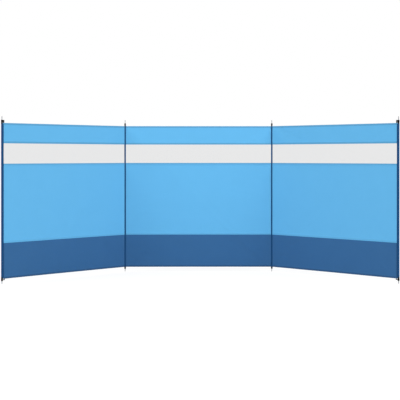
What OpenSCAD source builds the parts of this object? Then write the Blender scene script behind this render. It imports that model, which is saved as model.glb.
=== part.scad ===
// Beach windbreak: a cloth screen in three bays on four spiked poles, its two end bays set forward as wings.
// Origin on the underside of the left inner foot cap, where it meets the ground.
// X runs along the middle bay, the wings come towards -Y, and Z is up.

/* [Bays] */
// Distance between neighbouring poles, axis to axis
bay_w = 1500; // [900:10:2000]
// Angle that each wing is set forward from the line of the middle bay
wing_angle = 44; // [0:1:90]

/* [Screen] */
// Height of the top band
top_band_h = 188; // [80:1:400]
// Height of the clear window that shows between its two seams
window_h = 188; // [80:1:400]
// Height of the main band
main_band_h = 733; // [300:1:1200]
// Height of the base band that shows under its seam
base_band_h = 329; // [100:1:600]
// Thickness of the cloth
cloth_t = 1.6; // [0.8:0.1:2.4]
// Thickness of the window film
film_t = 0.8; // [0.4:0.1:1.6]
// Thickness of a folded hem or seam
hem_t = 4; // [3.4:0.1:6]
// Height of a folded hem or seam
hem_h = 18; // [14:1:40]
// Width of the hem down the two short sides of a band
side_hem_w = 18; // [15:1:40]
// Depth that the edge of one band runs into the seam of the next
seam_depth = 12; // [5:1:13]
// Clearance round an edge inside its seam
seam_clear = 0.2; // [0.1:0.05:0.3]

/* [Poles] */
// Outside diameter of a pole
pole_d = 13; // [10:0.5:20]
// Wall of a pole
pole_wall = 0.8; // [0.5:0.1:1.2]
// Length of pole that shows above the screen
pole_stub = 8; // [2:1:40]

/* [Sleeves] */
// Thickness of the sleeve cloth
sleeve_t = 1.4; // [1:0.1:2]
// Clearance between a pole and its sleeve
sleeve_clear = 0.2; // [0.1:0.05:0.5]
// Gap between a round sleeve and the edge of the screen beside it
hinge_gap = 0.3; // [0.2:0.05:0.6]
// Reach of the two sewn tails of an outer sleeve, from the axis of the pole
tail_reach = 16; // [14:0.5:40]

/* [Caps] */
// Step from the pole out to the side of a cap
cap_lip = 1.5; // [1:0.1:4]
// Step from the side of a cap out to the bead round its mouth
cap_bead = 0.7; // [0.2:0.1:2]
// Height of the bead
cap_bead_h = 5; // [2:0.5:8]
// Height of a cap, from the end of the pole to its outer face
cap_h = 20; // [12:1:40]
// Radius of the edge of the outer face
cap_edge_r = 1.2; // [0.4:0.1:1.4]
// Length of the plug inside the pole
plug_l = 25; // [10:1:60]
// Clearance between a cap and the pole, inside and outside
plug_clear = 0.1; // [0.05:0.05:0.3]
// Length that the cap of an outer pole runs on over the pole
outer_skirt = 16; // [8:1:40]
// How far the side of that length lies inside the outside of the sleeve
skirt_inset = 0.1; // [0:0.05:0.5]
// Gap between such a cap and the end of the sleeve
skirt_gap = 0.3; // [0.1:0.05:1]

/* [Pins and spikes] */
// Diameter of a top pin and of a ground spike
pin_d = 6; // [4:0.5:7]
// Length of a top pin above its cap
pin_l = 34; // [15:1:60]
// Length of a ground spike below its cap
spike_l = 30; // [15:1:80]
// Length of the point of a ground spike
spike_point_l = 10; // [4:1:14]
// Diameter of the blunt end of the point
spike_tip_d = 1.6; // [0.8:0.1:3]
// Diameter of the collar let into the cap
collar_d = 9; // [8:0.5:11]
// Height of the collar
collar_h = 2; // [1:0.5:5]
// Diameter of the shank inside the cap
shank_d = 5; // [3:0.5:7]
// Length of the shank inside the cap
shank_l = 14; // [5:1:30]
// Clearance round the collar and the shank
shank_clear = 0.1; // [0.05:0.05:0.2]

/* [Corner loops] */
// Thickness of the elastic webbing
loop_t = 1; // [0.6:0.1:1.2]
// Most width of the webbing round a top cap
top_loop_w = 13; // [4:0.5:30]
// Gap between the bead of a top cap and the doubled tab of its loop
top_neck = 3.3; // [1:0.1:20]
// Width of the tab of a top loop
top_tab_w = 12; // [6:1:40]
// Most width of the webbing round a foot cap
foot_loop_w = 7; // [4:0.5:30]
// Gap between the bead of a foot cap and the doubled tab of its loop
foot_neck = 11.3; // [1:0.1:20]
// Width of the tab of a foot loop
foot_tab_w = 8; // [6:1:40]
// Length of tab sewn inside the hem of the screen
loop_sewn_l = 12; // [5:1:13]
// Clearance between the webbing and the cap
loop_clear = 0.2; // [0.1:0.05:0.4]

/* [Hidden] */
$fn = 64;
past = 1; // how far a cutter runs past the face that it cuts

sleeve_bore_r = pole_d / 2 + sleeve_clear;
sleeve_r = sleeve_bore_r + sleeve_t;
tail_inside = hem_t / 2 + seam_clear;
tail_face = tail_inside + sleeve_t;

edge_from_axis = sleeve_r + hinge_gap;
screen_l = bay_w - 2 * edge_from_axis;
screen_h = top_band_h + window_h + main_band_h + base_band_h;

base_z = cap_h;
main_z = base_z + base_band_h;
window_z = main_z + main_band_h;
top_z = window_z + window_h;
pole_l = screen_h + pole_stub;
outer_sleeve_l = pole_l - 2 * (outer_skirt + skirt_gap);
cap_face_z = base_z + pole_l + cap_h;

cap_r = pole_d / 2 + cap_lip;
cap_bead_r = cap_r + cap_bead;
cap_side_h = cap_h - cap_bead_h - cap_edge_r;
plug_r = pole_d / 2 - pole_wall - plug_clear;

loop_bore_r = cap_r + loop_clear;
top_tab_far = cap_bead_r + top_neck + top_tab_w;
foot_tab_far = cap_bead_r + foot_neck + foot_tab_w;

LIGHT_BLUE = [0.40, 0.72, 0.93];
DARK_BLUE = [0.22, 0.40, 0.60];
NAVY = [0.13, 0.30, 0.46];
CLEAR = [0.91, 0.91, 0.91, 0.5];
BLACK = [0.08, 0.08, 0.08];
STEEL = [0.66, 0.66, 0.68];

INNER_POSTS = ["left_inner", "right_inner"];
OUTER_POSTS = ["left_outer", "right_outer"];
POSTS = concat(INNER_POSTS, OUTER_POSTS);
BAYS = ["left", "middle", "right"];

// A bay runs along +X from its first pole, with the sheltered side towards -Y.
module place_bay(bay) {
    if (bay == "left") mirror([1, 0, 0]) rotate([0, 0, -wing_angle]) children();
    if (bay == "middle") children();
    if (bay == "right") translate([bay_w, 0, 0]) rotate([0, 0, -wing_angle]) children();
}

// An outer post stands at the far end of its wing, so the screen reaches it from -X.
module place_post(post) {
    if (post == "left_inner") place_bay("middle") children();
    if (post == "right_inner") place_bay("middle") translate([bay_w, 0, 0]) children();
    if (post == "left_outer") place_bay("left") translate([bay_w, 0, 0]) children();
    if (post == "right_outer") place_bay("right") translate([bay_w, 0, 0]) children();
}

// Steel tube that runs from the foot cap to the top cap
module pole() {
    color(BLACK) translate([0, 0, base_z]) difference() {
        cylinder(d = pole_d, h = pole_l);
        translate([0, 0, -past]) cylinder(d = pole_d - 2 * pole_wall, h = pole_l + 2 * past);
    }
}

// Plain cloth tube of an inner pole, which the two bays beside it turn about
module inner_sleeve() {
    color(NAVY) translate([0, 0, base_z]) linear_extrude(screen_h) difference() {
        circle(r = sleeve_r);
        circle(r = sleeve_bore_r);
    }
}

// Cloth tube of an outer pole, whose two tails hold the side hems of the screen between them
module outer_sleeve() {
    color(NAVY) translate([0, 0, base_z + outer_skirt + skirt_gap]) difference() {
        union() {
            cylinder(r = sleeve_r, h = outer_sleeve_l);
            for (y = [-tail_face, tail_inside])
                translate([-tail_reach, y, 0]) cube([tail_reach, sleeve_t, outer_sleeve_l]);
        }
        translate([0, 0, -past]) cylinder(r = sleeve_bore_r, h = outer_sleeve_l + 2 * past);
    }
}

// Half section of a moulded cap, with its outer face at zero, its plug upwards and a skirt round the pole
module cap_section(skirt) {
    skirt_bore_r = pole_d / 2 + plug_clear;
    skirt_wall = sleeve_r - skirt_inset - skirt_bore_r;
    if (skirt > 0) translate([skirt_bore_r, cap_h - cap_bead_h]) square([skirt_wall, cap_bead_h + skirt]);
    difference() {
        union() {
            translate([0, cap_edge_r]) square([cap_r, cap_h - cap_edge_r]);
            square([cap_r - cap_edge_r, cap_h]);
            translate([cap_r - cap_edge_r, cap_edge_r]) intersection() {
                circle(r = cap_edge_r);
                translate([0, -cap_edge_r]) square(cap_edge_r);
            }
            translate([0, cap_h - cap_bead_h]) square([cap_bead_r, cap_bead_h]);
            translate([0, cap_h]) square([plug_r, plug_l]);
        }
        translate([0, -past]) square([collar_d / 2 + shank_clear, collar_h + past]);
        square([shank_d / 2 + shank_clear, collar_h + shank_l + shank_clear]);
    }
}

module foot_cap(skirt) {
    color(BLACK) rotate_extrude() cap_section(skirt);
}

module top_cap(skirt) {
    color(BLACK) translate([0, 0, cap_face_z]) mirror([0, 0, 1]) rotate_extrude() cap_section(skirt);
}

// Half section of the collar and shank that hold a pin or spike in its cap
module shank_section() {
    square([collar_d / 2, collar_h]);
    square([shank_d / 2, collar_h + shank_l]);
}

// Pointed steel rod that goes into the ground
module spike() {
    rod_l = spike_l - spike_point_l;
    color(STEEL) {
        rotate_extrude() shank_section();
        translate([0, 0, -rod_l]) cylinder(d = pin_d, h = rod_l);
        translate([0, 0, -spike_l]) cylinder(d1 = spike_tip_d, d2 = pin_d, h = spike_point_l);
    }
}

// Steel rod with a domed end that takes the loop of a guy line
module top_pin() {
    color(STEEL) translate([0, 0, cap_face_z]) mirror([0, 0, 1]) rotate_extrude() {
        shank_section();
        translate([0, pin_d / 2 - pin_l]) {
            square([pin_d / 2, pin_l - pin_d / 2]);
            intersection() {
                circle(d = pin_d);
                translate([0, -pin_d / 2]) square(pin_d / 2);
            }
        }
    }
}

// Section of a hem folded round at its free edge, with that edge at zero
module hem_section() {
    translate([0, hem_t / 2]) circle(d = hem_t);
    translate([-hem_t / 2, hem_t / 2]) square([hem_t, hem_h - hem_t / 2]);
}

// Section of a seam that holds an edge of the given thickness, with its mouth at zero
module seam_section(edge_t) {
    difference() {
        translate([-hem_t / 2, 0]) square([hem_t, hem_h]);
        translate([-edge_t / 2 - seam_clear, -past])
            square([edge_t + 2 * seam_clear, seam_depth + seam_clear + past]);
    }
}

// Section of a flat sheet that stands on zero
module sheet_section(thick, height) {
    translate([-thick / 2, 0]) square([thick, height]);
}

// Runs a section along the bay from one sleeve to the other
module along_bay(start = 0, length = screen_l) {
    translate([edge_from_axis + start, 0, 0]) rotate([90, 0, 90]) linear_extrude(length) children();
}

// Side hems at both ends of a band, where the sleeves hold it
module side_hems(from, height) {
    for (start = [0, screen_l - side_hem_w])
        along_bay(start, side_hem_w) translate([0, from]) sheet_section(hem_t, height);
}

// Pocket in a hem at the outer end of a wing, with the free edge of the hem at zero
module tab_pocket(tab_w, tab_far) {
    half_t = loop_t + seam_clear;
    translate([bay_w - tab_far - seam_clear, -half_t, -past])
        cube([tab_w + 2 * seam_clear, 2 * half_t, loop_sewn_l + seam_clear + past]);
}

// Top band, with a folded hem along the top and the seam of the window along the bottom
module top_band(with_pocket) {
    color(LIGHT_BLUE) translate([0, 0, top_z]) difference() {
        union() {
            along_bay() {
                seam_section(film_t);
                translate([0, hem_h]) sheet_section(cloth_t, top_band_h - 2 * hem_h);
                translate([0, top_band_h]) mirror([0, 1]) hem_section();
            }
            side_hems(hem_h, top_band_h - 2 * hem_h);
        }
        if (with_pocket) translate([0, 0, top_band_h]) mirror([0, 0, 1]) tab_pocket(top_tab_w, top_tab_far);
    }
}

// Clear film, whose long edges run into the seams above and below it
module window() {
    color(CLEAR) translate([0, 0, window_z]) {
        along_bay() translate([0, -seam_depth]) sheet_section(film_t, window_h + 2 * seam_depth);
        side_hems(0, window_h);
    }
}

// Main band, with the seam of the window along the top and the seam of the base band along the bottom
module main_band() {
    color(LIGHT_BLUE) translate([0, 0, main_z]) {
        along_bay() {
            seam_section(cloth_t);
            translate([0, hem_h]) sheet_section(cloth_t, main_band_h - 2 * hem_h);
            translate([0, main_band_h]) mirror([0, 1]) seam_section(film_t);
        }
        side_hems(hem_h, main_band_h - 2 * hem_h);
    }
}

// Base band, with a folded hem along the bottom and its top edge run into the seam above it
module base_band(with_pocket) {
    color(DARK_BLUE) translate([0, 0, base_z]) difference() {
        union() {
            along_bay() {
                hem_section();
                translate([0, hem_h]) sheet_section(cloth_t, base_band_h - hem_h + seam_depth);
            }
            side_hems(hem_h, base_band_h - hem_h);
        }
        if (with_pocket) tab_pocket(foot_tab_w, foot_tab_far);
    }
}

// Elastic webbing round a cap, beside its bead, pinched into a doubled tab that is sewn inside a hem.
// The outer face of the cap is at zero, and the edge of the hem lies below it by the given drop.
module corner_loop(most_w, tab_w, tab_far, drop) {
    wrap_w = min(most_w, cap_side_h - loop_clear);
    wrap_z = cap_bead_h + loop_clear - cap_h;
    color(BLACK) difference() {
        union() {
            translate([0, 0, wrap_z]) {
                cylinder(r = loop_bore_r + loop_t, h = wrap_w);
                translate([-tab_far, -loop_t, 0]) cube([tab_far, 2 * loop_t, wrap_w]);
            }
            translate([-tab_far, -loop_t, -drop - loop_sewn_l])
                cube([tab_w, 2 * loop_t, drop + loop_sewn_l + wrap_z + wrap_w]);
        }
        translate([0, 0, -cap_h]) cylinder(r = loop_bore_r, h = cap_h + past);
    }
}

module top_loop() {
    translate([0, 0, cap_face_z]) corner_loop(top_loop_w, top_tab_w, top_tab_far, cap_h + pole_stub);
}

module foot_loop() {
    mirror([0, 0, 1]) corner_loop(foot_loop_w, foot_tab_w, foot_tab_far, cap_h);
}

for (post = POSTS) {
    place_post(post) pole();
    place_post(post) top_pin();
    place_post(post) spike();
}

for (post = INNER_POSTS) {
    place_post(post) top_cap(0);
    place_post(post) foot_cap(0);
    place_post(post) inner_sleeve();
}

for (post = OUTER_POSTS) {
    place_post(post) top_cap(outer_skirt);
    place_post(post) foot_cap(outer_skirt);
    place_post(post) outer_sleeve();
    place_post(post) top_loop();
    place_post(post) foot_loop();
}

for (bay = BAYS) {
    place_bay(bay) top_band(bay != "middle");
    place_bay(bay) window();
    place_bay(bay) main_band();
    place_bay(bay) base_band(bay != "middle");
}
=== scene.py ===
import math
import bpy
import numpy as np
from mathutils import Matrix, Vector


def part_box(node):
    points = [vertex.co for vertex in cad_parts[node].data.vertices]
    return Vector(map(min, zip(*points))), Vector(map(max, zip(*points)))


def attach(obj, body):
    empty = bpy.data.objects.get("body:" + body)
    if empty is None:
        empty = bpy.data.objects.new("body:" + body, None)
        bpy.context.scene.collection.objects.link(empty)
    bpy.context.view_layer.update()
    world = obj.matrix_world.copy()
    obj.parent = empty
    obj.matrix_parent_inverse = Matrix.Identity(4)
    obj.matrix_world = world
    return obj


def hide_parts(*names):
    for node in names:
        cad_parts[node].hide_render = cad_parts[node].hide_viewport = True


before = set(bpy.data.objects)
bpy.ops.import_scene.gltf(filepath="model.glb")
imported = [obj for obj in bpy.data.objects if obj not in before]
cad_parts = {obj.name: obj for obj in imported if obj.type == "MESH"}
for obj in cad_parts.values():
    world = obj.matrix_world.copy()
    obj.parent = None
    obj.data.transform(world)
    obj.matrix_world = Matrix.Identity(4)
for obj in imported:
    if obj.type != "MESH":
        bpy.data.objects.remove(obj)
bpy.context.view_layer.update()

bpy.ops.object.select_all(action="DESELECT")


# Poles: four steel tubes, one at each side of every bay, coated in black paint.
# Each slides through a cloth sleeve, so only a short end of it shows, under its top cap.
POSTS = ("left_outer", "left_inner", "right_inner", "right_outer")
PAINT_BLACK = (12, 12, 13)
PAINT_HAZE = (21, 21, 23)


def linear(colour):
    """A colour written as 0 to 255 on screen, as the linear values that a shader takes."""
    shares = [value / 255 for value in colour]
    return (*[v / 12.92 if v <= 0.04045 else ((v + 0.055) / 1.055) ** 2.4 for v in shares], 1.0)


class Shade:
    """One output socket in a finish. Python's operators on it add Math nodes."""

    def __init__(self, tree, socket=None):
        self.tree = tree
        self.socket = socket

    def node(self, kind, settings=None, sockets=None, out=0):
        """Adds a node with its settings, then its sockets' values or links, and wraps one output."""
        made = self.tree.nodes.new(kind)
        for name, value in (settings or {}).items():
            setattr(made, name, value)
        for name, value in (sockets or {}).items():
            if isinstance(value, Shade):
                self.tree.links.new(value.socket, made.inputs[name])
            else:
                made.inputs[name].default_value = value
        return Shade(self.tree, made.outputs[out])

    def beside(self, out):
        """Another output of the node that this one comes from."""
        return Shade(self.tree, self.socket.node.outputs[out])

    def maths(self, operation, *values):
        return self.node("ShaderNodeMath", {"operation": operation}, dict(enumerate(values)))

    def __add__(self, other):
        return self.maths("ADD", self, other)

    def __radd__(self, other):
        return self.maths("ADD", other, self)

    def __mul__(self, other):
        return self.maths("MULTIPLY", self, other)

    def __rmul__(self, other):
        return self.maths("MULTIPLY", other, self)

    def __abs__(self):
        return self.maths("ABSOLUTE", self)

    def ribs(self, pitch):
        """Rounded ridges from 0 to 1 along this distance, one to each pitch."""
        turn = self * (math.pi / pitch)
        return abs(turn.maths("SINE", turn))

    def stretched(self, scale):
        """This place with each of its directions scaled."""
        return self.node("ShaderNodeMapping", None, {"Vector": self, "Scale": scale})

    def noise(self, scale, detail=2.0):
        """Cloudy variation from 0 to 1 over this place, scale times to the metre."""
        sockets = {"Vector": self, "Scale": scale, "Detail": detail}
        return self.node("ShaderNodeTexNoise", None, sockets, "Fac")

    def between(self, low, high):
        """This share, from 0 to 1, carried to a value from low to high."""
        return low + self * (high - low)

    def tint(self, first, second):
        """A colour that goes from first to second as this share goes from 0 to 1."""
        colours = {0: self, 6: first, 7: second}
        return self.node("ShaderNodeMix", {"data_type": "RGBA"}, colours, 2)


class Finish:
    """A node material: constant values go on its Principled shader, and varying ones are fed to it."""

    def __init__(self, name, **sockets):
        self.material = bpy.data.materials.new(name)
        self.material.use_nodes = True
        self.shade = Shade(self.material.node_tree)
        self.shader = self.material.node_tree.nodes["Principled BSDF"]
        for socket, value in sockets.items():
            self.shader.inputs[socket.replace("_", " ")].default_value = value

    def place(self):
        """The point on the piece, in metres."""
        return self.shade.node("ShaderNodeTexCoord", out="Object")

    def spread(self):
        """The point on the piece's own map, in metres: whole, then along the piece and round it."""
        point = self.shade.node("ShaderNodeUVMap", {"uv_map": "metres"})
        along = point.node("ShaderNodeSeparateXYZ", None, {0: point})
        return point, along, along.beside(1)

    def feed(self, **sockets):
        for socket, value in sockets.items():
            self.shade.tree.links.new(value.socket, self.shader.inputs[socket.replace("_", " ")])

    def raise_by(self, height, metres):
        """Feeds the normal from a height of 0 to 1 that stands metres proud."""
        bump = {"Height": height, "Distance": metres, "Strength": 1.0}
        self.feed(Normal=self.shade.node("ShaderNodeBump", None, bump))


def dress(finish, pieces):
    """Gives solids that came with the frame a finish in place of their packed colour."""
    for piece in pieces:
        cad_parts[piece].material_slots[0].material = finish.material


black_paint = Finish("black_paint", Specular_IOR_Level=0.12)
spot = black_paint.place()
peel = spot.noise(scale=900.0)
haze = spot.noise(scale=60.0, detail=4.0)
black_paint.feed(
    Base_Color=haze.tint(linear(PAINT_BLACK), linear(PAINT_HAZE)),
    Roughness=haze.between(0.36, 0.54),
)
black_paint.raise_by(peel, metres=0.00006)
dress(black_paint, [f"{post}_pole" for post in POSTS])


# Caps: a black moulded plug with a beaded rim, pressed into the top and the foot of each pole.
# The plastic is dyed through, and its mould was spark-eroded, which leaves a fine even grain.
CAP_BLACK = (9, 9, 10)
CAP_RUBBED = (20, 20, 22)

moulded_black = Finish("moulded_black", Specular_IOR_Level=0.06)
spot = moulded_black.place()
grain = spot.noise(scale=2600.0)
cloud = spot.noise(scale=180.0, detail=3.0)
moulded_black.feed(
    Base_Color=cloud.tint(linear(CAP_BLACK), linear(CAP_RUBBED)),
    Roughness=cloud.between(0.52, 0.7),
)
moulded_black.raise_by(grain, metres=0.00008)
dress(moulded_black, [f"{post}_{cap}" for post in POSTS for cap in ("top_cap", "foot_cap")])


# Top pins and ground spikes: zinc-plated steel rods, turned with a collar that seats on the cap.
# The lathe leaves fine rings round the rod, and the plating is a little cloudy and dulled by handling.
ZINC_BRIGHT = (150, 152, 156)
ZINC_DULL = (102, 104, 108)
LATHE_RINGS = (120.0, 120.0, 5200.0)

plated_steel = Finish("plated_steel", Metallic=1.0)
spot = plated_steel.place()
rings = spot.stretched(LATHE_RINGS).noise(scale=1.0)
cloud = spot.noise(scale=240.0, detail=4.0)
plated_steel.feed(
    Base_Color=cloud.tint(linear(ZINC_DULL), linear(ZINC_BRIGHT)),
    Roughness=(0.6 * cloud + 0.4 * rings).between(0.34, 0.58),
)
plated_steel.raise_by(rings, metres=0.00004)
dress(plated_steel, [f"{post}_{rod}" for post in POSTS for rod in ("top_pin", "spike")])


# Screen: it hangs in three bays, each stretched flat between two poles with very little slack.
# Its cloth and film share one set of broad waves, pulled creases and seam puckers, bay by bay.
BAYS = {"left": POSTS[0:2], "middle": POSTS[1:3], "right": POSTS[2:4]}
BODIES = {"left": "left_wing", "middle": "middle_bay", "right": "right_wing"}
BAY_SEEDS = {"left": 11, "middle": 23, "right": 37}
EDGE_CLOSER = 0.0002
TURN = 2 * math.pi


def axis_of(post):
    """The point on the ground plane that a pole's middle line passes through."""
    low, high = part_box(f"{post}_pole")
    return Vector(((low.x + high.x) / 2, (low.y + high.y) / 2, 0))


def bay_place(bay):
    """Carries x along the bay from its left pole, y to its back and z up into the row frame."""
    start, end = [axis_of(post) for post in BAYS[bay]]
    run = end - start
    return Matrix.Translation(start) @ Matrix.Rotation(math.atan2(run.y, run.x), 4, "Z")


bay_length = (axis_of("right_inner") - axis_of("left_inner")).length
cloth_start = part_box("middle_main_band")[0].x - EDGE_CLOSER
cloth_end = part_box("middle_main_band")[1].x + EDGE_CLOSER
screen_length = cloth_end - cloth_start
cloth_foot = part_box("middle_base_band")[0].z
cloth_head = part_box("middle_top_band")[1].z
main_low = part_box("middle_main_band")[0].z
main_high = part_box("middle_main_band")[1].z
top_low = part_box("middle_top_band")[0].z
SEAM_LEVELS = (cloth_foot, main_low, main_high, top_low, cloth_head)

BELLY = 0.009
# A wave is drawn as its length, lean and phase.
WAVES = 5
WAVE_SIZE = 0.0008
WAVE_LEAST = (0.35, -0.6, 0)
WAVE_MOST = (0.8, 0.6, TURN)
# A crease that starts at a pole is drawn as its level, lean, width and reach.
CREASES = 11
CREASE_SIZE = 0.0011
CREASE_LEAST = (cloth_foot, -0.3, 0.008, 0.05)
CREASE_MOST = (cloth_head, 0.3, 0.024, 0.20)
# A drag line from a corner is drawn as its lean, width and reach.
DRAGS = 3
DRAG_SIZE = 0.0019
DRAG_LEAST = (0.35, 0.012, 0.09)
DRAG_MOST = (1.3, 0.03, 0.26)
PUCKER_SIZE = 0.0003
PUCKER_PITCH = 0.031
PUCKER_SPREAD = 0.016
PUCKER_DRIFT = 1.6
PUCKER_DRIFT_LENGTH = 0.23


def uneven(rng, most):
    """A height of up to most, to the front or the back."""
    return most * rng.uniform(0.4, 1.0) * rng.choice((-1, 1))


def crease(inward, offset, width, reach):
    """A soft ridge of height 1 that starts at the sleeve, is highest at its reach and dies away."""
    return np.exp(-0.5 * (offset / width) ** 2) * (inward / reach) * np.exp(1 - inward / reach)


def billow(bay, along, height):
    """How far a point of the screen stands behind the plane of its two poles, in metres."""
    rng = np.random.default_rng(BAY_SEEDS[bay])
    share = np.clip((along - cloth_start) / screen_length, 0, 1)
    rise = (height - cloth_foot) / (cloth_head - cloth_foot)
    slack = np.sin(np.pi * share)
    depth = BELLY * slack * (0.6 + 0.4 * np.sin(np.pi * rise))
    for _ in range(WAVES):
        length, lean, phase = rng.uniform(WAVE_LEAST, WAVE_MOST)
        depth = depth + WAVE_SIZE * slack * np.sin(TURN * (along + lean * height) / length + phase)
    for inward in (np.maximum(along - cloth_start, 0), np.maximum(cloth_end - along, 0)):
        for _ in range(CREASES):
            level, lean, width, reach = rng.uniform(CREASE_LEAST, CREASE_MOST)
            size = uneven(rng, CREASE_SIZE)
            depth = depth + size * crease(inward, height - level - lean * inward, width, reach)
        for level, lean_way in ((cloth_head, -1), (cloth_foot, 1)):
            for _ in range(DRAGS):
                lean, width, reach = rng.uniform(DRAG_LEAST, DRAG_MOST)
                size = uneven(rng, DRAG_SIZE)
                offset = (height - level - lean_way * lean * inward) / math.hypot(1, lean)
                depth = depth + size * crease(inward, offset, width, reach)
    for level in SEAM_LEVELS:
        first, second = rng.uniform(0, TURN, 2)
        drift = PUCKER_DRIFT * np.sin(TURN * along / PUCKER_DRIFT_LENGTH + second)
        beat = np.sin(TURN * along / PUCKER_PITCH + first + drift)
        near = np.exp(-(((height - level) / PUCKER_SPREAD) ** 2))
        depth = depth + PUCKER_SIZE * slack**0.3 * beat * near
    return depth


# Bands of cloth: polyester in a fine plain weave, light blue above and darker blue along the ground.
# Outer edges are folded into hems, and an edge that meets another piece is doubled to hold it in a seam.
LIGHT_BLUE = (99, 184, 235)
DARK_BLUE = (52, 103, 154)
# Painted shade: doubled cloth keeps only this share of its colour, for the light it lets through less than
# single cloth.
LIGHT_FOLD_SHADE = 0.89
DARK_FOLD_SHADE = 0.86
CLOTH_HALF = 0.0004
HEM_WIDE = 0.018
FOLD_ROUND = 0.0004
FOLD_STEP = 0.0008
# How far the front and the back of a hem or seam stand from the cloth's middle, and what a side hem adds.
HEM_STAND = (0.0005, 0.001)
SEAM_STAND = (0.00115, 0.00115)
SIDE_ADDS = (0.0001, 0.0005)
SIDE_EDGE = 0.2
SEWN_IN = 0.0004
GROOVE_HALF = 0.0005
GROOVE_DEPTH = 0.0124
SEAM_TUCK = 0.0118
# How deep the painted shade at the head of the main band reaches.
SILL_SHADE_DEPTH = 0.011
STATION_STEP = 0.006
STATIONS = 206
TOP_ROWS = 13
MAIN_ROWS = 46
BASE_ROWS = 24
THREAD_PITCH = 0.0011
WEAVE_RISE = 0.00012
SLUB_SCALE = 6.0
# Each edge form lists a distance in from the edge, then how far the front and the back stand out.
HEM = (
    (0.0, 0.0001, 0.0003),
    (FOLD_ROUND, 0.00045, 0.0009),
    (0.004, *HEM_STAND),
    (0.009, *HEM_STAND),
    (0.0145, *HEM_STAND),
    (HEM_WIDE - FOLD_STEP, 0.00048, 0.0009),
    (HEM_WIDE, CLOTH_HALF, CLOTH_HALF),
)
SEAM = (
    (0.0, 0.0008, 0.0008),
    (FOLD_ROUND, 0.0011, 0.0011),
    (0.004, *SEAM_STAND),
    (0.009, *SEAM_STAND),
    (0.0145, *SEAM_STAND),
    (HEM_WIDE - FOLD_STEP, 0.00095, 0.00095),
    (HEM_WIDE, CLOTH_HALF, CLOTH_HALF),
)
TONGUE = (
    (0.0, 0.0002, 0.0002),
    (0.0003, CLOTH_HALF, CLOTH_HALF),
)
# Painted shade of doubled cloth at the foot, at the head and at a wing's free end, then how deep the head's
# shade reaches.
NO_FOLD_SHADE = (0.0, 0.0, 0.0, HEM_WIDE)
TOP_FOLD_SHADE = (1.0, 1.0, 0.3, HEM_WIDE)
MAIN_FOLD_SHADE = (0.3, 1.0, 0.3, SILL_SHADE_DEPTH)
BASE_FOLD_SHADE = (1.0, 0.0, 1.0, HEM_WIDE)


def placed(name, mesh):
    """Puts a mesh into the scene as a piece."""
    piece = bpy.data.objects.new(name, mesh)
    bpy.context.scene.collection.objects.link(piece)
    return piece


def loft(name, rings, place, uv_along, uv_round, joined=False):
    """A closed piece through rings of points, with its ends filled or joined, and metres for its map."""
    count, size = rings.shape[:2]
    index = np.arange(count * size).reshape(count, size)
    rows = np.vstack([index, index[:1]]) if joined else index
    quads = np.stack(
        [rows[:-1], np.roll(rows[:-1], -1, 1), np.roll(rows[1:], -1, 1), rows[1:]], axis=-1
    ).reshape(-1, 4)
    ends = [] if joined else [index[0][::-1].tolist(), index[-1].tolist()]
    mesh = bpy.data.meshes.new(name)
    mesh.from_pydata(rings.reshape(-1, 3).tolist(), [], quads.tolist() + ends)
    mesh.transform(place)
    corner_u = np.stack([uv_along[:-1], uv_along[:-1], uv_along[1:], uv_along[1:]], axis=-1)
    corner_v = np.stack([uv_round[:-1], uv_round[1:], uv_round[1:], uv_round[:-1]], axis=-1)
    corners = np.zeros((len(rows) - 1, size, 4, 2))
    corners[..., 0] = corner_u[:, None, :]
    corners[..., 1] = corner_v[None, :, :]
    spread = [corners.reshape(-1)] + [np.zeros(2 * len(end)) for end in ends]
    mesh.uv_layers.new(name="metres").data.foreach_set("uv", np.concatenate(spread))
    return placed(name, mesh)


def smoothed(piece, degrees):
    """Shades a piece smooth, apart from folds sharper than this."""
    bpy.ops.object.select_all(action="DESELECT")
    piece.select_set(True)
    bpy.context.view_layer.objects.active = piece
    bpy.ops.object.shade_smooth_by_angle(angle=math.radians(degrees))
    piece.select_set(False)
    return piece


def around(outline):
    """How far round a closed outline each of its points lies, and the whole way round."""
    steps = np.linalg.norm(np.roll(outline, -1, 0) - outline, axis=1)
    return np.concatenate([[0.0], np.cumsum(steps)])


def side_hem(along):
    """1 on the folded sides of a bay's cloth and 0 inside them."""
    inward = np.minimum(along - cloth_start, cloth_end - along)
    return np.interp(inward, (0.0, FOLD_ROUND, HEM_WIDE - FOLD_STEP, HEM_WIDE), (SIDE_EDGE, 1.0, 1.0, 0.0))


def stations(bay):
    """Distances along a bay at which its cloth is shaped, closer together at the side hems."""
    fold = np.array((0.0, FOLD_ROUND, STATION_STEP, 2 * STATION_STEP, HEM_WIDE - FOLD_STEP, HEM_WIDE))
    inside = np.linspace(HEM_WIDE + STATION_STEP, screen_length - HEM_WIDE - STATION_STEP, STATIONS)
    along = cloth_start + np.concatenate([fold, inside, screen_length - fold[::-1]])
    if bay == "middle":
        along[[0, -1]] += (-SEWN_IN, SEWN_IN)
    return along


def turned(points):
    """Points of a section on the other side of its middle, in the opposite order."""
    return [(-depth, height) for depth, height in points[::-1]]


def strip_section(low, high, lower, upper, rows):
    """The (depth, height) points round a strip, and how far each one moves out on a side hem."""
    half = lower[-1][1]
    inner = np.linspace(low + lower[-1][0], high - upper[-1][0], rows + 2)[1:-1]
    levels = [(low + inset, front, back) for inset, front, back in lower]
    levels += [(height, half, half) for height in inner.tolist()]
    levels += [(high - inset, front, back) for inset, front, back in upper[::-1]]
    back = [(out, height) for height, _, out in levels]
    front = [(-out, height) for height, out, _ in levels[::-1]]
    head = [(GROOVE_HALF, high), (GROOVE_HALF, high - GROOVE_DEPTH)] if upper is SEAM else []
    foot = [(-GROOVE_HALF, low), (-GROOVE_HALF, low + GROOVE_DEPTH)] if lower is SEAM else []
    outline = np.array(back + head + turned(head) + front + foot + turned(foot))
    grows = np.zeros(len(outline))
    if half == CLOTH_HALF:
        first = len(back) + 2 * len(head)
        grows[first : first + len(front)] = -SIDE_ADDS[0]
        grows[: len(back)] = SIDE_ADDS[1]
    return outline, grows


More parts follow.
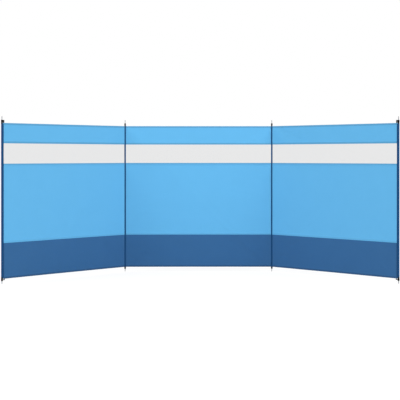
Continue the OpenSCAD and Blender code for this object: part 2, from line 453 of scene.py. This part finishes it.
def fold_shade_shares(bay, along, height, low, high, folds):
    """How far each point of a strip shows the painted shade of doubled cloth, from 0 to 1."""
    at_foot, at_head, at_end, head_deep = folds
    within = FOLD_STEP / 2
    foot_shade = at_foot * (height < low + HEM_WIDE - within)
    head_shade = at_head * (height > high - head_deep + within)
    no_end = np.full_like(along, HEM_WIDE)
    from_end = {"left": along - cloth_start, "middle": no_end, "right": cloth_end - along}[bay]
    end_shade = at_end * (from_end < HEM_WIDE - within)
    return np.maximum(np.maximum(foot_shade, head_shade)[None, :], end_shade[:, None])


def screen_strip(name, bay, low, high, lower, upper, rows, folds=NO_FOLD_SHADE, ripple=None):
    """One strip of a bay's screen, from its edge forms, the waves of the bay and the painted shade of its
    doubled cloth.
    """
    outline, grows = strip_section(low, high, lower, upper, rows)
    along = stations(bay)
    rings = np.zeros((len(along), len(outline), 3))
    rings[..., 0] = along[:, None]
    rings[..., 2] = outline[None, :, 1]
    depth = billow(bay, rings[..., 0], rings[..., 2])
    if ripple:
        depth = depth + ripple(rings[..., 0], np.clip((rings[..., 2] - low) / (high - low), 0, 1))
    rings[..., 1] = outline[None, :, 0] + side_hem(along)[:, None] * grows[None, :] + depth
    piece = loft(name, rings, bay_place(bay), along, around(outline))
    # Painted shade of doubled cloth, stored on each point for the weave's finish to read.
    folded = fold_shade_shares(bay, along, outline[:, 1], low, high, folds)
    piece.data.attributes.new("folded", "FLOAT", "POINT").data.foreach_set("value", folded.reshape(-1))
    return smoothed(piece, degrees=40)


def darker(colour, share):
    """A colour with only this share of its light."""
    return tuple(value * share for value in colour)


def lighter(colour, share):
    """A colour brought this share of the way to white."""
    return tuple(255 - (255 - value) * (1 - share) for value in colour)


def woven(name, colour, low_tone_and_gap_shade, fold=1.0, pitch=THREAD_PITCH, gloss=0.15):
    """Plain-weave polyester with bumps at crossings, random thread tone and painted shade in the weave and at
    folds.
    """
    cloth = Finish(name, Specular_IOR_Level=gloss, Sheen_Weight=0.2 * gloss, Sheen_Roughness=0.4)
    point, along, upward = cloth.spread()
    crossing = along.ribs(pitch) * upward.ribs(pitch)
    thread_scale = 0.9 / pitch
    weft = point.stretched((SLUB_SCALE, thread_scale, 1.0)).noise(scale=1.0, detail=1.0)
    warp = point.stretched((thread_scale, SLUB_SCALE, 1.0)).noise(scale=1.0, detail=1.0)
    cloud = cloth.place().noise(scale=7.0, detail=3.0)
    # Painted shade: gaps between thread crossings are darker and crossings lighter, mixed with the threads'
    # own random tone.
    tone = 0.3 * weft + 0.3 * warp + 0.25 * cloud + 0.15 * crossing
    single = tone.tint(linear(low_tone_and_gap_shade), linear(colour))
    # Painted shade on doubled cloth, for the light it lets through less than single cloth.
    shaded_double = tone.tint(linear(darker(low_tone_and_gap_shade, fold)), linear(darker(colour, fold)))
    folded = cloth.shade.node("ShaderNodeAttribute", {"attribute_name": "folded"}, out="Fac")
    cloth.feed(Base_Color=folded.tint(single, shaded_double), Roughness=tone.between(0.9, 0.72))
    cloth.raise_by(crossing, metres=WEAVE_RISE)
    return cloth


light_cloth = woven("light_blue_weave", lighter(LIGHT_BLUE, 0.05), darker(LIGHT_BLUE, 0.95), LIGHT_FOLD_SHADE)
dark_cloth = woven("dark_blue_weave", lighter(DARK_BLUE, 0.04), darker(DARK_BLUE, 0.93), DARK_FOLD_SHADE)

base_high = main_low + SEAM_TUCK
band_forms = (
    ("top_band", top_low, cloth_head, SEAM, HEM, TOP_ROWS, TOP_FOLD_SHADE, light_cloth, "light_blue_cloth"),
    ("main_band", main_low, main_high, SEAM, SEAM, MAIN_ROWS, MAIN_FOLD_SHADE, light_cloth, "light_blue_cloth"),
    ("base_band", cloth_foot, base_high, HEM, TONGUE, BASE_ROWS, BASE_FOLD_SHADE, dark_cloth, "dark_blue_cloth"),
)
for bay in BAYS:
    for part, low, high, lower, upper, rows, folds, cloth, slot in band_forms:
        node = f"{bay}_{part}"
        piece = screen_strip(f"{node}_cloth", bay, low, high, lower, upper, rows, folds)
        piece.data.materials.append(cloth.material)
        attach(piece, BODIES[bay])
        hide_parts(node)


# Windows: a strip of clear soft plastic film along each bay, held in the seams of the bands above and below.
# Film keeps a faint grey cast and a polished face, and it ripples a little between its seams.
FILM_GREY = (96, 99, 103)
FILM_ALPHA = 0.121
FILM_EDGE = ((0.0, 0.0001, 0.0001), (0.0002, 0.0002, 0.0002))
FILM_ROWS = 24
RIPPLE_SIZE = 0.0006
RIPPLE_PACE = 71
RIPPLE_DRIFT = 2.2
RIPPLE_DRIFT_PACE = 13

clear_film = Finish("clear_film", Specular_IOR_Level=0.5, Alpha=FILM_ALPHA)
smear = clear_film.place().noise(scale=9.0, detail=3.0)
clear_film.feed(
    Base_Color=smear.tint(linear(darker(FILM_GREY, 0.97)), linear(FILM_GREY)),
    Roughness=smear.between(0.06, 0.16),
)


def film_ripple(along, rise):
    """How far the film stands off the waves of its bay, with nothing at its seams and its ends."""
    size = RIPPLE_SIZE * np.sin(np.pi * rise) ** 2 * np.sin(np.pi * (along / bay_length))
    return size * np.sin(along * RIPPLE_PACE + RIPPLE_DRIFT * np.sin(along * RIPPLE_DRIFT_PACE))


for bay in BAYS:
    low, high = main_high - SEAM_TUCK, top_low + SEAM_TUCK
    node = f"{bay}_window"
    piece = screen_strip(f"{node}_film", bay, low, high, FILM_EDGE, FILM_EDGE, FILM_ROWS, ripple=film_ripple)
    piece.data.materials.append(clear_film.material)
    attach(piece, BODIES[bay])
    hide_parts(node)


# Stitching: two rows of lockstitch along every hem and seam, on both faces, in thread of the cloth's colour.
# Each stitch is a short lozenge of twisted polyester thread that sinks into the cloth at both its ends.
STITCH_PITCH = 0.005
STITCH_SIZE = np.array((0.0036, 0.0007, 0.0003))
ROW_INSETS = (0.0035, 0.0145)
SIDE_ROWS = (0.005, 0.0135)
ROW_START = 0.004
ROW_END = 0.003
SIDE_ROW_START = 0.021
SIDE_ROW_END = 0.019
ALONG = (1.0, 0.0, 0.0)
UP = (0.0, 0.0, 1.0)
# A stitch's points: how far along it, across it and up from the cloth, as shares of its sizes.
STITCH_POINTS = np.array([
    (-0.5, 0, -0.5),
    (-0.28, -0.5, 0), (-0.28, 0, 1), (-0.28, 0.5, 0), (-0.28, 0, -1),
    (0.28, -0.5, 0), (0.28, 0, 1), (0.28, 0.5, 0), (0.28, 0, -1),
    (0.5, 0, -0.5),
])
STITCH_FACES = np.array([
    (0, 1, 2), (0, 2, 3), (0, 3, 4), (0, 4, 1),
    (1, 5, 6), (1, 6, 2), (2, 6, 7), (2, 7, 3), (3, 7, 8), (3, 8, 4), (4, 8, 5), (4, 5, 1),
    (9, 6, 5), (9, 7, 6), (9, 8, 7), (9, 5, 8),
])


def sewn(name, rows, place):
    """One piece of stitching from rows of (middles, run, out): points, the thread's way and the way out."""
    points = []
    for middles, run, out in rows:
        run, out = [np.broadcast_to(way, middles.shape) for way in (run, out)]
        across = np.cross(out, run)
        ways = np.stack([run, across, out], axis=1)
        points.append(middles[:, None, :] + np.einsum("pk,nkx->npx", STITCH_POINTS * STITCH_SIZE, ways))
    points = np.concatenate(points)
    starts = np.arange(len(points)) * len(STITCH_POINTS)
    faces = (STITCH_FACES[None] + starts[:, None, None]).reshape(-1, 3)
    mesh = bpy.data.meshes.new(name)
    mesh.from_pydata(points.reshape(-1, 3).tolist(), [], faces.tolist())
    mesh.transform(place)
    return smoothed(placed(name, mesh), degrees=80)


def face_rows(bay, along, height, stand, run):
    """Stitches on the front and the back of a bay's cloth, where stand gives how far each face is out."""
    rows = []
    for way, out in ((-1, stand[0]), (1, stand[1])):
        depth = billow(bay, along, height) + way * out
        rows.append((np.stack([along, depth, height], axis=-1), np.array(run), np.array((0.0, way, 0.0))))
    return rows


def level_rows(bay, levels, stand):
    """Stitch rows along a bay at these heights."""
    along = np.arange(cloth_start + HEM_WIDE + ROW_START, cloth_end - HEM_WIDE - ROW_END, STITCH_PITCH)
    return [row for z in levels for row in face_rows(bay, along, np.full_like(along, z), stand, ALONG)]


def side_rows(bay, low, high):
    """Stitch rows up the two side hems of a band, clear of its seams."""
    height = np.arange(low + SIDE_ROW_START, high - SIDE_ROW_END, STITCH_PITCH)
    edges = [cloth_start + inset for inset in SIDE_ROWS] + [cloth_end - inset for inset in SIDE_ROWS]
    stand = [CLOTH_HALF + added for added in SIDE_ADDS]
    return [row for x in edges for row in face_rows(bay, np.full_like(height, x), height, stand, UP)]


def thread(name, colour):
    """Twisted polyester thread, a little glossier than the cloth that it holds."""
    twist = Finish(name, Specular_IOR_Level=0.4, Sheen_Weight=0.1)
    ply = twist.place().noise(scale=1400.0, detail=1.0)
    twist.feed(
        Base_Color=ply.tint(linear(darker(colour, 0.9)), linear(lighter(colour, 0.12))),
        Roughness=ply.between(0.5, 0.7),
    )
    twist.raise_by(ply, metres=0.00008)
    return twist


light_thread = thread("light_blue_thread", LIGHT_BLUE)
dark_thread = thread("dark_blue_thread", DARK_BLUE)

for bay in BAYS:
    hem_rows = [cloth_head - inset for inset in ROW_INSETS]
    seam_rows = [top_low + inset for inset in ROW_INSETS] + [main_high - inset for inset in ROW_INSETS]
    seam_rows += [main_low + inset for inset in ROW_INSETS]
    light_rows = level_rows(bay, hem_rows, HEM_STAND) + level_rows(bay, seam_rows, SEAM_STAND)
    light_rows += side_rows(bay, top_low, cloth_head) + side_rows(bay, main_low, main_high)
    dark_rows = level_rows(bay, [cloth_foot + inset for inset in ROW_INSETS], HEM_STAND)
    dark_rows += side_rows(bay, cloth_foot, main_low + HEM_WIDE)
    for tone, rows, finish in (("light", light_rows, light_thread), ("dark", dark_rows, dark_thread)):
        piece = sewn(f"{bay}_{tone}_stitching", rows, bay_place(bay))
        piece.data.materials.append(finish.material)
        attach(piece, BODIES[bay])


# Sleeves: strips of navy polyester that each pole slides through, hemmed at the top and the foot.
# An inner one is a closed tube. An outer one wraps its pole, and its two tails are sewn to the screen's end.
NAVY = (23, 71, 119)
NAVY_PITCH = 0.0009
NAVY_GLOSS = 0.06
SLEEVE_OUT = 0.008
SLEEVE_HEM_OUT = 0.0081
SLEEVE_IN = 0.0071
SLEEVE_WALL = SLEEVE_OUT - SLEEVE_IN
SLEEVE_HEM = 0.014
SLEEVE_ROUND = 0.0005
SLEEVE_EDGE = 0.4
SLEEVE_LAP = 0.008
SLEEVE_SEED = 100
SLEEVE_SIDES = 40
SLEEVE_LEVELS = 220
SLEEVE_HEM_LEVELS = (0.005, 0.010)
SLEEVE_STEP = 0.004
INNER_LEVELS = 5
# A sleeve's crease is drawn as its level, then as its share of the way round, lean, width and depth.
SLEEVE_CREASES = 90
SLEEVE_CREASE_LEAST = (0, -0.03, 0.003, 0.00005)
SLEEVE_CREASE_MOST = (1, 0.03, 0.009, 0.00022)
SLEEVE_CREASE_ROUND = 0.22
SLEEVE_DRAWN_MOST = 0.00035
TAIL_REACH = 0.018
TAIL_ROOT = 0.0112
TAIL_MIDDLE = 0.0014
TAIL_LIFT = 0.0008
LIFT_START = 0.006
LIFT_FULL = 0.001
TAIL_FROM = 0.0075
TAIL_FADE = 0.0025
NECK = np.array([(0.0097, 0.0017), (0.0083, 0.0026), (0.0069, 0.0039)])
BEND_ARC = (42, 318)
BEND_POINTS = 30
BEND_END = 0.009
BEND_FADE = 0.003
navy_cloth = woven("navy_weave", lighter(NAVY, 0.05), darker(NAVY, 0.9), pitch=NAVY_PITCH, gloss=NAVY_GLOSS)
navy_thread = thread("navy_thread", NAVY)


def wing_end(post):
    """A wing's own directions, set at the middle line of its outer pole."""
    return Matrix.Translation(axis_of(post)) @ bay_place(post.split("_")[0]).to_3x3().to_4x4()


def sleeve_creases(seed, round_share, height):
    """How far a sleeve is drawn in by small slanting creases, in metres, never out."""
    rng = np.random.default_rng(seed)
    drawn = np.zeros(np.broadcast(round_share, height).shape)
    least = (height.min(), *SLEEVE_CREASE_LEAST)
    most = (height.max(), *SLEEVE_CREASE_MOST)
    for _ in range(SLEEVE_CREASES):
        level, centre, lean, width, size = rng.uniform(least, most)
        way = (round_share - centre + 0.5) % 1 - 0.5
        up = (height - level - lean * way) / width
        drawn = drawn + size * np.exp(-(up**2) - (way / SLEEVE_CREASE_ROUND) ** 2)
    return np.minimum(drawn, SLEEVE_DRAWN_MOST)


def sleeve_heights(low, high):
    """Levels up a sleeve at which it is shaped, from foot to head, closer at its two hems."""
    hem = np.array((0.0, SLEEVE_ROUND, *SLEEVE_HEM_LEVELS, SLEEVE_HEM - FOLD_STEP, SLEEVE_HEM))
    inside = np.linspace(SLEEVE_HEM + SLEEVE_STEP, high - low - SLEEVE_HEM - SLEEVE_STEP, SLEEVE_LEVELS)
    return low + np.concatenate([hem, inside, high - low - hem[::-1]])


def hem_share(height):
    """1 on a sleeve's end hems and 0 between them."""
    inward = np.minimum(height - height.min(), height.max() - height)
    insets = (0.0, SLEEVE_ROUND, SLEEVE_HEM - FOLD_STEP, SLEEVE_HEM)
    return np.interp(inward, insets, (SLEEVE_EDGE, 1.0, 1.0, 0.0))


def tube_sleeve(name, seed, place, low, high):
    """A closed cloth tube with a thin wall."""
    turns = np.arange(SLEEVE_SIDES) / SLEEVE_SIDES
    height = sleeve_heights(low, high)
    reach = np.interp(hem_share(height), (0, 1), (SLEEVE_OUT, SLEEVE_HEM_OUT))
    outer = reach[:, None] - sleeve_creases(seed, turns[None, :], height[:, None])
    inner_height = np.linspace(high, low, INNER_LEVELS)
    inner = np.full((INNER_LEVELS, SLEEVE_SIDES), SLEEVE_IN)
    radius = np.vstack([outer, inner])
    level = np.concatenate([height, inner_height])
    angle = TURN * turns
    rings = np.stack([radius * np.cos(angle), radius * np.sin(angle), 0 * radius + level[:, None]], axis=-1)
    down = np.concatenate([height, 2 * high - inner_height, [2 * high - low]])
    girth = TURN * SLEEVE_OUT * np.append(turns, 1.0)
    return smoothed(loft(name, rings, place, down, girth, joined=True), degrees=40)


def wrap_line():
    """The middle line of an outer sleeve's cloth, from one tail's end round the pole to the other."""
    middle = (SLEEVE_OUT + SLEEVE_IN) / 2
    turn = np.radians(np.linspace(*BEND_ARC, BEND_POINTS))
    bend = np.stack([middle * np.cos(turn), middle * np.sin(turn)], axis=-1)
    tail = np.array([(reach, TAIL_MIDDLE) for reach in np.linspace(TAIL_REACH, TAIL_ROOT, 5)])
    side = np.vstack([tail, NECK])
    return np.vstack([side, bend, side[::-1] * (1, -1)])


def seam_lift(height):
    """How far the tails of an outer sleeve ride up over the thick ends of the screen's seams."""
    raised = []
    for seam_low in (main_low, main_high - HEM_WIDE, top_low):
        seam_high = seam_low + HEM_WIDE
        ramp = (seam_low - LIFT_START, seam_low - LIFT_FULL, seam_high + LIFT_FULL, seam_high + LIFT_START)
        raised.append(np.interp(height, ramp, (0, 1, 1, 0)))
    return TAIL_LIFT * np.max(raised, axis=0)


def wrapped_sleeve(name, seed, place, low, high, bay):
    """A strip of cloth round the pole with its two tails lying on the faces of the screen."""
    line = wrap_line()
    run = np.gradient(line, axis=0)
    run = run / np.linalg.norm(run, axis=1)[:, None]
    away = np.stack([run[:, 1], -run[:, 0]], axis=-1)
    half = np.full(len(line), SLEEVE_WALL / 2)
    half[[0, -1]] = SLEEVE_WALL / 4
    outline = np.vstack([line + away * half[:, None], (line - away * half[:, None])[::-1]])
    faces_out = np.concatenate([np.ones(len(line)), np.zeros(len(line))])
    height = sleeve_heights(low, high)
    share = (np.arctan2(outline[:, 1], outline[:, 0]) / TURN) % 1
    on_bend = np.clip((BEND_END - outline[:, 0]) / BEND_FADE, 0, 1)
    drawn = sleeve_creases(seed, share[None, :], height[:, None]) * on_bend
    thick = hem_share(height)[:, None] * (SLEEVE_HEM_OUT - SLEEVE_OUT) * faces_out
    normal = np.vstack([away, away[::-1]])
    grown = outline[None] + normal[None] * (thick - drawn)[..., None]
    on_tail = np.clip((outline[:, 0] - TAIL_FROM) / TAIL_FADE, 0, 1) * np.sign(outline[:, 1])
    grown[..., 1] += seam_lift(height)[:, None] * on_tail
    mirrored = bay == "right"
    along = bay_length - outline[:, 0] if mirrored else outline[:, 0]
    along, level = np.broadcast_arrays(along[None, :], height[:, None])
    flip = -1 if mirrored else 1
    rings = np.stack([flip * grown[..., 0], flip * grown[..., 1] + billow(bay, along, level), level], axis=-1)
    return smoothed(loft(name, rings[:, ::-1], place, height, around(outline)), degrees=40)


for number, post in enumerate(POSTS):
    name, seed = f"{post}_sleeve_cloth", SLEEVE_SEED + number
    low, high = [corner.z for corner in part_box(f"{post}_sleeve")]
    if "inner" in post:
        piece = tube_sleeve(name, seed, Matrix.Translation(axis_of(post)), low, high)
        body = "middle_bay"
        cut = TURN * SLEEVE_OUT + SLEEVE_LAP
    else:
        bay = post.split("_")[0]
        piece = wrapped_sleeve(name, seed, wing_end(post), low, high, bay)
        body = BODIES[bay]
        cut = around(wrap_line())[-2]
    piece.data.materials.append(navy_cloth.material)
    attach(piece, body)
    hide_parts(f"{post}_sleeve")
    high - low + 2 * SLEEVE_HEM


# Corner loops: flat black elastic, drawn round the cap of each outer pole and pinched together beside it.
# A tab of the same webbing is folded over the pinched ends, sewn through and let into the hem at the corner.
WEB_BLACK = (10, 10, 11)
WEB_RIB_LIT = (23, 23, 25)
THREAD_BLACK = (24, 24, 26)
WEB_THICK = 0.0005
WEB_CLEAR = 0.0002
RIB_PITCH = 0.0011
PICK_PITCH = 0.6 * RIB_PITCH
CAP_SIDE = 0.008
CAP_BEAD = 0.0052
WRAP_POINTS = 44
PINCH_LIE = 0.55 * WEB_THICK
PINCH_OPEN = 1.4 * PINCH_LIE
PINCH_NEAR = 0.0006
PINCH_FAR = 0.0008
TAB_LIE = PINCH_LIE + 1.1 * WEB_THICK
TAB_IN_HEM = 0.0115
TAB_HELD = 0.004
TAB_MOUTH = 0.0004
TAB_NEAR = 0.0006
TAB_FAR = 0.0002
TAB_BULGE = 0.8
HEM_CENTRE = 0.00025
BAR_STITCHES = 5
BAR_INSET = 0.002
BAR_LIE = 2.15 * WEB_THICK
# Each loop's name and way off the screen, its width, and where its tab starts and ends, out from the pole.
LOOPS = (
    ("top_loop", 1, 0.013, 0.012, 0.026),
    ("foot_loop", -1, 0.007, 0.022, 0.030),
)

elastic = Finish("elastic_webbing", Specular_IOR_Level=0.05)
_, lengthwise, crosswise = elastic.spread()
rib = 0.65 * crosswise.ribs(RIB_PITCH) + 0.35 * lengthwise.ribs(PICK_PITCH)
# Painted shade and highlight: the webbing is darker between its ribs and lighter on their tops.
elastic.feed(
    Base_Color=rib.tint(linear(darker(WEB_BLACK, 0.7)), linear(WEB_RIB_LIT)),
    Roughness=rib.between(0.9, 0.68),
)
elastic.raise_by(rib, metres=0.0002)
black_thread = thread("black_thread", THREAD_BLACK)


def ribbon(name, line, across, width, place, follow=None):
    """Flat webbing along a line of points, as wide as given across it, moved in depth by follow if given."""
    run = np.gradient(line, axis=0)
    run = run / np.linalg.norm(run, axis=1)[:, None]
    across = np.array(across)
    out = np.cross(run, across)
    half, thick = width / 2, WEB_THICK / 2
    section = [(-half, -0.4 * thick), (-half + thick, -thick), (0, -thick), (half - thick, -thick)]
    section = np.array(section + [(-x, -y) for x, y in section])
    rings = line[:, None] + section[None, :, :1] * across + section[None, :, 1:] * out[:, None]
    if follow:
        rings[..., 1] += follow(rings[..., 0], rings[..., 2])
    steps = np.linalg.norm(np.diff(line, axis=0), axis=1)
    along = np.concatenate([[0.0], np.cumsum(steps)])
    return smoothed(loft(name, rings, place, along, around(section)), degrees=50)


def wrap_path(near, far, level):
    """Once round a cap, from one pinched end to the other, seen from above."""
    middle = CAP_SIDE + WEB_CLEAR + WEB_THICK / 2
    leave = math.acos(middle / math.hypot(near, PINCH_LIE)) + math.atan2(PINCH_LIE, near)
    turn = np.linspace(leave, TURN - leave, WRAP_POINTS)
    bend = np.stack([middle * np.cos(turn), middle * np.sin(turn)], axis=-1)
    pinched = np.array([(out, PINCH_LIE) for out in np.linspace(far - PINCH_FAR, near + PINCH_NEAR, 4)])
    share = np.linspace(0, 1, 7)[1:-1, None]
    flare = (1 - share) * np.array((near, PINCH_OPEN)) + share * bend[0]
    side = np.vstack([pinched, flare])
    plan = np.vstack([side, bend, side[::-1] * (1, -1)])
    return np.column_stack([plan, np.full(len(plan), level)])


def tab_path(middle, edge, strip_near, strip_far, way, back):
    """From inside the hem, over the pinched ends of the loop and back into the hem, seen from the end."""
    in_hem = HEM_CENTRE * back + PINCH_LIE
    rise = np.array([
        (in_hem, edge - way * TAB_IN_HEM),
        (in_hem, edge - way * TAB_HELD),
        (in_hem, edge + way * TAB_MOUTH),
        (0.6 * PINCH_LIE + 0.4 * TAB_LIE, (edge + strip_near) / 2),
        (TAB_LIE, strip_near - way * TAB_NEAR),
        (TAB_LIE, 0.7 * strip_near + 0.3 * strip_far),
        (TAB_LIE, 0.3 * strip_near + 0.7 * strip_far),
        (TAB_LIE, strip_far - way * TAB_FAR),
    ])
    turn = np.radians(np.linspace(0, 180, 9))[1:-1]
    fold = np.stack([TAB_LIE * np.cos(turn), strip_far + way * TAB_BULGE * TAB_LIE * np.sin(turn)], axis=-1)
    fall = rise[::-1] * (-1, 1)
    fall[-3:, 0] += 2 * HEM_CENTRE * back
    side = np.vstack([rise, fold, fall])
    return np.column_stack([np.full(len(side), middle), side])


def hem_follower(bay, edge, loose, flip):
    """How deep the cloth lies along a tab, from all of it inside the hem to none at the loop."""
    def depth(inward, height):
        along = bay_length - inward if bay == "right" else inward
        held = np.clip((height - loose) / (edge - loose), 0, 1)
        return flip * held * billow(bay, along, np.clip(height, cloth_foot, cloth_head))

    return depth


for post in ("left_outer", "right_outer"):
    bay = post.split("_")[0]
    flip = -1 if bay == "right" else 1
    place = wing_end(post) @ Matrix.Rotation(math.pi if bay == "right" else 0, 4, "Z")
    pole_low, pole_high = [corner.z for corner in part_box(f"{post}_pole")]
    for end, way, wide, near, far in LOOPS:
        edge = cloth_head if end == "top_loop" else cloth_foot
        cap_mouth = (pole_high if end == "top_loop" else pole_low) + way * CAP_BEAD
        strip_far = cap_mouth + way * wide
        path = wrap_path(near, far, (cap_mouth + strip_far) / 2)
        wrap = ribbon(f"{post}_{end}_webbing", path, UP, wide, place)
        fold = tab_path((near + far) / 2, edge, cap_mouth, strip_far, way, flip)
        lying = hem_follower(bay, edge, cap_mouth, flip)
        tab = ribbon(f"{post}_{end}_tab", fold, ALONG, far - near, place, lying)
        bar = np.linspace(near + BAR_INSET, far - BAR_INSET, BAR_STITCHES)
        rows = []
        for level in (0.75 * cap_mouth + 0.25 * strip_far, 0.25 * cap_mouth + 0.75 * strip_far):
            for side in (-1, 1):
                lie = np.full(BAR_STITCHES, side * BAR_LIE)
                middles = np.stack([bar, lie, np.full(BAR_STITCHES, level)], axis=-1)
                rows.append((middles, np.array(ALONG), np.array((0.0, side, 0.0))))
        sewing = sewn(f"{post}_{end}_bar", rows, place)
        for piece, finish in ((wrap, elastic), (tab, elastic), (sewing, black_thread)):
            piece.data.materials.append(finish.material)
            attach(piece, BODIES[bay])
        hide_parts(f"{post}_{end}")


# Sleeve stitching: rows of navy lockstitch round the hems of the sleeves and up the tails of the outer ones.
# The tail rows go through both tails and the end of the screen between them.
TUBE_STITCHES = np.radians(np.linspace(0, 360, 11)[:-1])
WRAP_STITCHES = np.radians(np.linspace(50, 310, 8))
RING_INSETS = (0.004, 0.011)
TAIL_INSETS = (0.0018, 0.0048)
TAIL_STAND = TAIL_MIDDLE + SLEEVE_WALL / 2

for post in POSTS:
    rows = []
    bay = post.split("_")[0]
    inner = "inner" in post
    mirrored = post == "right_outer"
    place = Matrix.Translation(axis_of(post)) if inner else wing_end(post)
    flip = np.array((-1, -1, 1) if mirrored else (1, 1, 1))
    angle = TUBE_STITCHES if inner else WRAP_STITCHES
    out = np.stack([np.cos(angle), np.sin(angle), 0 * angle], axis=-1)
    run = np.stack([-np.sin(angle), np.cos(angle), 0 * angle], axis=-1)
    low, high = [corner.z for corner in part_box(f"{post}_sleeve")]
    for level in [low + inset for inset in RING_INSETS] + [high - inset for inset in RING_INSETS]:
        middles = out * SLEEVE_HEM_OUT + np.array((0, 0, level))
        rows.append((middles * flip, run * flip, out * flip))
    if not inner:
        pole_along = np.array((bay_length if mirrored else 0, 0, 0))
        height = np.arange(low + ROW_START, high - ROW_END, STITCH_PITCH)
        stand = TAIL_STAND + seam_lift(height)
        for tail in [TAIL_REACH - inset for inset in TAIL_INSETS]:
            along = np.full_like(height, bay_length - tail if mirrored else tail)
            for middles, run, out in face_rows(bay, along, height, (stand, stand), UP):
                rows.append((middles - pole_along, run, out))
    piece = sewn(f"{post}_sleeve_stitching", rows, place)
    piece.data.materials.append(navy_thread.material)
    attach(piece, "middle_bay" if inner else BODIES[bay])


# Floor: a plain pale studio floor at the level of the spikes' points, kept white to the camera.
# It keeps the soft shadow of the screen, and the world behind it is white in the same way.
FLOOR_SIZE = 120
FLOOR_MIDDLE = (0.75, 20.0)
FLOOR_WHITE = 0.8
FLOOR_GLOW = 0.87
FLOOR_SHADOW = 0.17
WHITE = (1, 1, 1, 1)

floor_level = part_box("left_inner_spike")[0].z
bpy.ops.mesh.primitive_plane_add(size=FLOOR_SIZE, location=(*FLOOR_MIDDLE, floor_level))
floor = bpy.context.active_object
floor.name = "studio_floor"
floor.data.transform(floor.matrix_world)
floor.matrix_world = Matrix.Identity(4)


def seen_rays(shade):
    """1 for rays that the camera, a reflection or the clear film sends, and 0 for light."""
    rays = shade.node("ShaderNodeLightPath", out="Is Camera Ray")
    mirror = rays.beside("Is Glossy Ray")
    through = rays.beside("Is Transmission Ray")
    return rays.maths("MAXIMUM", rays, mirror.maths("MAXIMUM", mirror, through))


def matt(shade, grey):
    """A plain matt surface of this grey."""
    return shade.node("ShaderNodeBsdfDiffuse", None, {"Color": (grey, grey, grey, 1)})


paper = bpy.data.materials.new("studio_paper")
paper.use_nodes = True
paper.node_tree.nodes.clear()
shade = Shade(paper.node_tree)
glow = shade.node("ShaderNodeEmission", None, {"Color": WHITE, "Strength": FLOOR_GLOW})
shown = shade.node("ShaderNodeAddShader", None, {0: glow, 1: matt(shade, FLOOR_SHADOW)})
mixed = {0: seen_rays(shade), 1: matt(shade, FLOOR_WHITE), 2: shown}
surface = shade.node("ShaderNodeMixShader", None, mixed)
output = paper.node_tree.nodes.new("ShaderNodeOutputMaterial")
paper.node_tree.links.new(surface.socket, output.inputs["Surface"])
floor.data.materials.append(paper)


# Light: a pale room all round and two large soft boxes, one on the left and one a little lower on the right.
# The level is plain, so that a colour shows about as it is written.
ROOM_LIGHT = 0.74
LIGHT_TARGET = Vector((0.75, -0.3, 0.7))
KEY_LIGHT = {"turn": -63, "rise": 35, "away": 8.0, "size": 3.5, "watts": 208}
FILL_LIGHT = {"turn": 52, "rise": 27, "away": 9.0, "size": 3.6, "watts": 290}

world = bpy.data.worlds.new("studio")
bpy.context.scene.world = world
world.use_nodes = True
strength = seen_rays(Shade(world.node_tree)).between(ROOM_LIGHT, 1.0)
backdrop = world.node_tree.nodes["Background"]
backdrop.inputs["Color"].default_value = WHITE
world.node_tree.links.new(strength.socket, backdrop.inputs["Strength"])


def soft_box(name, turn, rise, away, size, watts):
    """A square studio lamp that faces the middle of the screen."""
    turn, rise = math.radians(turn), math.radians(rise)
    way = Vector((math.sin(turn) * math.cos(rise), -math.cos(turn) * math.cos(rise), math.sin(rise)))
    bpy.ops.object.light_add(type="AREA", location=LIGHT_TARGET + way * away)
    lamp = bpy.context.active_object
    lamp.name = name
    lamp.rotation_euler = way.to_track_quat("Z", "Y").to_euler()
    lamp.data.size = size
    lamp.data.energy = watts
    lamp.visible_camera = False


soft_box("key_light", **KEY_LIGHT)
soft_box("fill_light", **FILL_LIGHT)
bpy.context.scene.view_settings.view_transform = "Standard"


# Camera: level, at chest height and nearly square to the middle bay from about ten and a half metres.
# Its frame is shifted down and to the right, as the photograph's crop is.
CAMERA_PLACE = (0.559, -10.605, 1.150)
CAMERA_TURN = -0.36
SENSOR_WIDE = 36.0
LENS = 93.35
SHIFT_RIGHT = 0.0342
SHIFT_UP = -0.1093

bpy.ops.object.camera_add(location=CAMERA_PLACE, rotation=(math.pi / 2, 0, math.radians(CAMERA_TURN)))
camera = bpy.context.active_object
camera.data.sensor_width = SENSOR_WIDE
camera.data.lens = LENS
camera.data.shift_x = SHIFT_RIGHT
camera.data.shift_y = SHIFT_UP
bpy.context.scene.camera = camera
